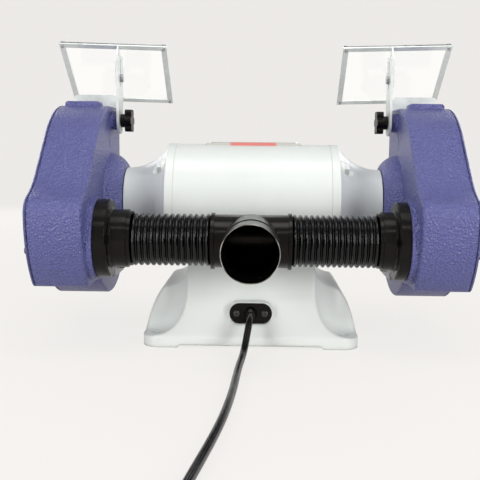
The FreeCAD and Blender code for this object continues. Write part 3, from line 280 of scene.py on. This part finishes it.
PRINT_RED, PRINT_BARE = (220, 126, 119), (196, 197, 190)
PRINT_RED_TO, PRINT_BARE_FROM = 0.0294, 0.0306  # distance from the plate's middle


def make_plate_finish():
    """Bare metal with a plain red field in the middle."""
    f = Finish("plate_print", PRINT_BARE, 0.4, Coat_Weight=0.2)
    across = f.add("SeparateXYZ")
    f.link(f.place, across.inputs["Vector"])
    away = f.add("Math", operation="ABSOLUTE")
    f.link(across.outputs["X"], away.inputs[0])
    f.color(away.outputs[0], (PRINT_RED_TO, PRINT_RED), (PRINT_BARE_FROM, PRINT_BARE))
    f.gloss(f.noise(200), 0.34, 0.46)


# Mesh helpers

def shade_smooth(mesh):
    mesh.polygons.foreach_set("use_smooth", [True] * len(mesh.polygons))


def skin(build, rings):
    """Faces from each ring to the next."""
    for a, b in zip(rings, rings[1:]):
        for i in range(len(a)):
            j = (i + 1) % len(a)
            build.faces.new((a[i], a[j], b[j], b[i]))


def to_mesh(name, build):
    bmesh.ops.recalc_face_normals(build, faces=build.faces)
    mesh = bpy.data.meshes.new(name)
    build.to_mesh(mesh)
    build.free()
    return mesh


def turned(name, profile, centre, sides):
    """Mesh of a closed profile in x and radius, turned about an X axis through centre."""
    build = bmesh.new()
    angles = [2 * math.pi * i / sides for i in range(sides)]
    rings = []
    for x, radius in profile:
        rings.append([build.verts.new((x, centre[0] + radius * math.cos(angle),
                                       centre[1] + radius * math.sin(angle)))
                      for angle in angles])
    skin(build, rings + rings[:1])
    mesh = to_mesh(name, build)
    shade_smooth(mesh)
    return mesh


def add_piece(name, mesh, finish):
    piece = bpy.data.objects.new(name, mesh)
    scene.collection.objects.link(piece)
    piece.data.materials.append(finishes[finish])
    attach(piece, "frame")
    return piece


# CAD nodes; those named here look different from the finish of their slot

# The base casting's finish is its enamel painted lighter, as painted light
OWN_FINISH = {"base_casting": "base_enamel_painted_lighter", "end_bell_bolts": "zinc", "cable_bush": "hose_plastic"}
WELD_DISTANCE, SHARP_ANGLE = 2e-6, 28.0


def dress_nodes():
    """Gives every CAD node its finish, and shades it smooth up to its sharp edges."""
    for part in frame["record"]["subparts"]:
        piece = nodes[part["node"]]
        finish = OWN_FINISH.get(part["node"], part["material_slot"])
        piece.data.materials.clear()
        piece.data.materials.append(finishes[finish])
        shade_smooth(piece.data)
        weld = piece.modifiers.new("weld", "WELD")
        weld.merge_threshold = WELD_DISTANCE
        split = piece.modifiers.new("split", "EDGE_SPLIT")
        split.split_angle = math.radians(SHARP_ANGLE)


# Cord: the route and the coil of the source, as control points of one smooth line

ROUTE = [
    (0.0, 0.127, 0.0395), (0.0005, 0.135, 0.0384), (0.0016, 0.1438, 0.0334),
    (0.0032, 0.1514, 0.025), (0.005, 0.16, 0.0152), (0.007, 0.1724, 0.0072),
    (0.009, 0.1904, 0.0042), (0.011, 0.216, 0.0042), (0.0126, 0.254, 0.0042),
    (0.0142, 0.293, 0.0042), (0.0168, 0.335, 0.0042), (0.0208, 0.38, 0.0042),
    (0.0264, 0.425, 0.0042), (0.033, 0.47, 0.0042), (0.0396, 0.514, 0.0042),
    (0.0442, 0.556, 0.0046), (0.046, 0.59, 0.0055), (0.046, 0.612, 0.0055),
]
COIL_AT, COIL_TURNS, COIL_STEPS = (-0.00625, 0.612, 0.0055), 5, 24
COIL_INNER, COIL_PITCH = 0.030, 0.0089
COIL_CLIMB = 0.5  # turns in which the cord climbs from the lower layer to the upper one
CORD_D, CORD_LENGTH = 0.008, 1.81
CORD_ROUND_STEPS, CORD_LINE_STEPS = 4, 5
PLUG_AT, PLUG_LEAD = (0.046, 0.640, 0.0144), 0.014


def coil_point(turn):
    """Point of the coil, which winds inward in its lower layer and outward in the upper one."""
    middle = COIL_TURNS / 2
    radius = COIL_INNER + COIL_PITCH * abs(turn - middle)
    climb = min(max((turn - middle + COIL_CLIMB / 2) / COIL_CLIMB, 0.0), 1.0)
    lift = COIL_PITCH * climb * climb * (3 - 2 * climb)
    angle = 2 * math.pi * turn
    x, y, z = COIL_AT
    return (x + radius * math.cos(angle), y + radius * math.sin(angle), z + lift)


def make_cord():
    points = list(ROUTE)
    points += [coil_point(i / COIL_STEPS) for i in range(1, COIL_TURNS * COIL_STEPS + 1)]
    points += [(PLUG_AT[0], PLUG_AT[1] - PLUG_LEAD, PLUG_AT[2]), PLUG_AT]
    curve = bpy.data.curves.new("mains_cord", "CURVE")
    curve.dimensions = "3D"
    curve.bevel_depth = CORD_D / 2
    curve.bevel_resolution = CORD_ROUND_STEPS
    curve.resolution_u = CORD_LINE_STEPS
    curve.use_fill_caps = True
    spline = curve.splines.new("NURBS")
    spline.points.add(len(points) - 1)
    for point, at in zip(spline.points, points):
        point.co = (*at, 1.0)
    spline.order_u = 3
    spline.use_endpoint_u = True
    cord = add_piece("mains_cord", curve, "cord_rubber")
    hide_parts("cord_lead", "cord_coil")


# Hoses with full round ribs; the two are pushed into their cuffs unequally

HOSE_AXIS, HOSE_SIDES = (0.123, 0.127), 72
HOSE_X0, HOSE_CUFF, HOSE_WALL = 0.046, 0.012, 0.0022
HOSE_CREST, HOSE_ROOT = 0.0302, 0.0264
RIB_STEPS, RIB_FULLNESS = 10, 0.8
HOSES = (("right", 1, 0.1365, 13), ("left", -1, 0.1439, 15))  # side, sign of x, end and ribs


def make_hoses():
    for side, sign, end_x, ribs in HOSES:
        pitch = (end_x - HOSE_X0) / ribs
        outside = [(HOSE_X0 - HOSE_CUFF, HOSE_ROOT)]
        for i in range(ribs):
            for step in range(RIB_STEPS):
                part = (step + 0.5) / RIB_STEPS
                swell = math.sin(math.pi * part) ** RIB_FULLNESS
                outside.append((HOSE_X0 + (i + part) * pitch,
                                HOSE_ROOT + (HOSE_CREST - HOSE_ROOT) * swell))
        outside.append((end_x + HOSE_CUFF, HOSE_ROOT))
        inside = [(x, r - HOSE_WALL) for x, r in reversed(outside)]
        profile = [(sign * x, r) for x, r in outside + inside]
        name = "ribbed_hose_" + side
        hose = add_piece(name, turned(name, profile, HOSE_AXIS, HOSE_SIDES), "hose_plastic")
        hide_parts("dust_hose_" + side)


# Light ring on the edge of the tee's mouth, whose colour is a painted highlight; its section is in
# y and radius, from the middle of the edge

TEE_AXIS_Z, RIM_Y, RIM_R, RIM_SIDES = 0.126, 0.237, 0.0303, 96
RIM_SECTION = (
    (-0.0012, 0.0002), (-0.0004, 0.0004), (0.0002, 0.0003),
    (0.0004, 0.0), (0.0002, -0.0003), (-0.0008, -0.0004),
)


def make_mouth_rim():
    profile = [(RIM_Y + y, RIM_R + r) for y, r in RIM_SECTION]
    mesh = turned("tee_mouth_rim", profile, (0.0, TEE_AXIS_Z), RIM_SIDES)
    mesh.transform(Matrix.Rotation(math.pi / 2, 4, "Z"))
    rim = add_piece("tee_mouth_rim", mesh, "painted_highlight_rim")


# Screws with a crowned head and a cross recess; each place is a point under the head and the
# direction that the head faces

SCREW_SIDES = 24
CROSS_LENGTH, CROSS_WIDTH, CROSS_DEPTH, CROSS_TAPER = 0.52, 0.14, 0.6, 0.75
LEAST_SINE = 1e-6  # in place of 0, along the cross's arms
HEAD_RINGS = ((0.0, 1.0), (0.45, 1.0), (0.72, 0.95), (0.9, 0.82), (1.0, 0.62))

COVER_X = 0.247
COVER_YZ = ((-0.027, 0.2755), (-0.0686, 0.0761), (0.1661, 0.118), (0.0923, 0.0825))
CABLE_PLATE_X, CABLE_PLATE_Y, CABLE_PLATE_Z = (-0.0165, 0.0165), 0.114, 0.0395
BASE_COVER_X, BASE_COVER_Y, BASE_COVER_Z = (-0.08, 0.08), (-0.073, 0.073), 0.003
SPARK_X, SPARK_Y, SPARK_Z = (-0.228, -0.204, 0.204, 0.228), -0.0606, 0.273
COVER_SCREWS = [((sx * COVER_X, y, z), (sx, 0, 0)) for sx in (1, -1) for y, z in COVER_YZ]
PLATE_SCREWS = [((x, CABLE_PLATE_Y, CABLE_PLATE_Z), (0, 1, 0)) for x in CABLE_PLATE_X]
PLATE_SCREWS += [((x, y, BASE_COVER_Z), (0, 0, -1)) for x in BASE_COVER_X for y in BASE_COVER_Y]
SPARK_SCREWS = [((x, SPARK_Y, SPARK_Z), (0, -1, 0)) for x in SPARK_X]
SCREW_SETS = (  # name, node, places, shank radius and length, head radius and height
    ("cross_cover_screws", "guard_cover_screws", COVER_SCREWS, 0.0025, 0.016, 0.0045, 0.0028),
    ("cross_plate_screws", "plate_screws", PLATE_SCREWS, 0.002, 0.012, 0.0038, 0.0022),
    ("cross_spark_screws", "spark_arrestor_screws", SPARK_SCREWS, 0.0025, 0.014, 0.0046, 0.003),
)


def cross_reach(angle):
    """Distance to the edge of a cross, as a share of the head's radius."""
    off = abs((angle + math.pi / 4) % (math.pi / 2) - math.pi / 4)
    return min(CROSS_LENGTH / math.cos(off), CROSS_WIDTH / max(math.sin(off), LEAST_SINE))


def add_screw(build, at, outward, shank_r, length, head_r, head_h):
    angles = [2 * math.pi * i / SCREW_SIDES for i in range(SCREW_SIDES)]
    facing = Vector(outward).to_track_quat("Z", "Y").to_matrix().to_4x4()
    place = Matrix.Translation(at) @ facing
    cross = [head_r * cross_reach(angle) for angle in angles]
    levels = [(-length, [shank_r] * SCREW_SIDES), (0.0, [shank_r] * SCREW_SIDES)]
    levels += [(head_h * h, [head_r * r] * SCREW_SIDES) for h, r in HEAD_RINGS]
    levels.append((head_h, cross))
    levels.append((head_h * (1 - CROSS_DEPTH), [CROSS_TAPER * r for r in cross]))
    rings = []
    for z, reach in levels:
        rings.append([build.verts.new(place @ Vector((r * math.cos(a), r * math.sin(a), z)))
                      for r, a in zip(reach, angles)])
    skin(build, rings)
    build.faces.new(list(reversed(rings[0])))
    build.faces.new(rings[-1])


def make_screws():
    for name, node, places, *sizes in SCREW_SETS:
        build = bmesh.new()
        for at, outward in places:
            add_screw(build, at, outward, *sizes)
        screws = add_piece(name, to_mesh(name, build), "black_steel")
        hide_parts(node)


# Bare plate on top of the motor, with two rivets

MOTOR_Y, MOTOR_Z, MOTOR_R = 0.0, 0.164, 0.073
PLATE_HALF_X, PLATE_BEVEL_X = 0.061, 0.004
PLATE_H, PLATE_EDGE_H, PLATE_SINK = 0.0028, 0.0006, 0.0004
PLATE_ANGLE, PLATE_BEVEL_ANGLE, PLATE_STEPS = 12.0, 3.0, 8
RIVET_X, RIVET_ANGLE, RIVET_R = 0.0555, 8.0, 0.0024
RIVET_SHAPE, RIVET_SIDES, RIVET_STEPS = (1.0, 0.8, 0.7, 1.0), 20, 12


def on_motor(x, angle, height):
    """Point at a height over the motor's skin; the angle is from the top towards the rear."""
    turn = math.radians(angle)
    radius = MOTOR_R + height
    return Vector((x, MOTOR_Y + radius * math.sin(turn), MOTOR_Z + radius * math.cos(turn)))


def make_motor_plate():
    flat = PLATE_ANGLE - PLATE_BEVEL_ANGLE
    section = [(-PLATE_ANGLE, -PLATE_SINK), (-PLATE_ANGLE, PLATE_EDGE_H)]
    section += [(flat * (2 * i / PLATE_STEPS - 1), PLATE_H) for i in range(PLATE_STEPS + 1)]
    section += [(PLATE_ANGLE, PLATE_EDGE_H), (PLATE_ANGLE, -PLATE_SINK)]
    inner = PLATE_HALF_X - PLATE_BEVEL_X
    stations = [(-PLATE_HALF_X, PLATE_EDGE_H), (-inner, PLATE_H),
                (inner, PLATE_H), (PLATE_HALF_X, PLATE_EDGE_H)]
    build = bmesh.new()
    rows = [[build.verts.new(on_motor(x, angle, min(height, cap))) for angle, height in section]
            for x, cap in stations]
    skin(build, rows)
    build.faces.new(rows[0])
    build.faces.new(list(reversed(rows[-1])))
    plate = add_piece("motor_plate", to_mesh("motor_plate", build), "plate_print")

    build = bmesh.new()
    for x in (-RIVET_X, RIVET_X):
        at = Matrix.Translation(on_motor(x, RIVET_ANGLE, PLATE_H))
        bmesh.ops.create_uvsphere(build, u_segments=RIVET_SIDES, v_segments=RIVET_STEPS,
                                  radius=RIVET_R, matrix=at @ Matrix.Diagonal(RIVET_SHAPE))
    mesh = to_mesh("motor_plate_rivets", build)
    shade_smooth(mesh)
    rivets = add_piece("motor_plate_rivets", mesh, "zinc")


# Stage: a pale floor that curves up into a round wall, and the world's light

PAPER, GLOW = srgb(212, 208, 204), srgb(255, 253, 250)
GLOW_SHARES = (("Is Camera Ray", 0.78), ("Is Glossy Ray", 0.35), ("Is Transmission Ray", 0.78))
FLOOR_R, SWEEP_R, WALL_TOP, STAGE_SIDES, SWEEP_STEPS = 3.2, 1.2, 2.1, 64, 12
WORLD_COLOR, WORLD_STRENGTH = (1.0, 0.985, 0.97, 1.0), 0.4


def backdrop_finish():
    """Paper that glows for the camera, in reflections and through the panes, and lights nothing."""
    material = bpy.data.materials.new("paper_sweep")
    material.use_nodes = True
    tree = material.node_tree
    tree.nodes.clear()
    out = tree.nodes.new("ShaderNodeOutputMaterial")
    paper = tree.nodes.new("ShaderNodeBsdfDiffuse")
    paper.inputs["Color"].default_value = PAPER
    glow = tree.nodes.new("ShaderNodeEmission")
    glow.inputs["Color"].default_value = GLOW
    glow.inputs["Strength"].default_value = 1.0
    path = tree.nodes.new("ShaderNodeLightPath")
    mix = tree.nodes.new("ShaderNodeMixShader")
    link = tree.links.new
    share = None
    for ray, weight in GLOW_SHARES:
        part = tree.nodes.new("ShaderNodeMath")
        part.operation = "MULTIPLY_ADD"
        part.inputs[1].default_value = weight
        part.inputs[2].default_value = 0.0
        link(path.outputs[ray], part.inputs[0])
        if share:
            link(share, part.inputs[2])
        share = part.outputs[0]
    link(share, mix.inputs["Fac"])
    link(paper.outputs[0], mix.inputs[1])
    link(glow.outputs[0], mix.inputs[2])
    link(mix.outputs[0], out.inputs["Surface"])
    return material


def make_stage():
    build = bmesh.new()
    profile = [(FLOOR_R, 0.0)]
    for i in range(1, SWEEP_STEPS + 1):
        angle = math.pi / 2 * i / SWEEP_STEPS
        profile.append((FLOOR_R + SWEEP_R * math.sin(angle), SWEEP_R * (1 - math.cos(angle))))
    profile.append((FLOOR_R + SWEEP_R, WALL_TOP))
    turns = [2 * math.pi * i / STAGE_SIDES for i in range(STAGE_SIDES)]
    rings = []
    for radius, z in profile:
        rings.append([build.verts.new((radius * math.cos(turn), radius * math.sin(turn), z))
                      for turn in turns])
    build.faces.new(rings[0])
    skin(build, rings)
    mesh = to_mesh("sweep", build)
    shade_smooth(mesh)
    sweep = bpy.data.objects.new("sweep", mesh)
    mesh.materials.append(backdrop_finish())
    scene.collection.objects.link(sweep)

    world = bpy.data.worlds.new("studio")
    scene.world = world
    world.use_nodes = True
    background = world.node_tree.nodes["Background"]
    background.inputs["Color"].default_value = WORLD_COLOR
    background.inputs["Strength"].default_value = WORLD_STRENGTH


# Lamps, all turned to the machine's middle; front is the photograph's side

LAMP_TARGET = (0.0, 0.0, 0.15)
LAMPS = (  # name, place, size and watts
    ("top_box", (0.0, 0.3, 1.5), (0.8, 0.6), 4.5),
    ("left_key", (1.3, 1.5, 0.62), (0.4, 1.2), 15),
    ("right_key", (-1.3, 1.5, 0.62), (0.4, 1.2), 18),
    ("front_strip", (0.0, 1.2, 1.3), (1.4, 0.08), 2),
    ("left_back", (1.2, -1.5, 0.8), (0.8, 1.0), 8),
    ("right_back", (-1.2, -1.5, 0.8), (0.8, 1.0), 8),
)


def make_lamps():
    for name, at, size, watts in LAMPS:
        data = bpy.data.lights.new(name, "AREA")
        data.shape = "RECTANGLE"
        data.size, data.size_y = size
        data.energy = watts
        lamp = bpy.data.objects.new(name, data)
        scene.collection.objects.link(lamp)
        lamp.location = at
        aim = Vector(LAMP_TARGET) - Vector(at)
        lamp.rotation_euler = aim.to_track_quat("-Z", "Y").to_euler()


make_camera()
make_paints()
make_plastics()
make_metals()
make_wheel_finishes()
make_plate_finish()
dress_nodes()
make_cord()
make_hoses()
make_motor_plate()
make_mouth_rim()
make_screws()
make_stage()
make_lamps()
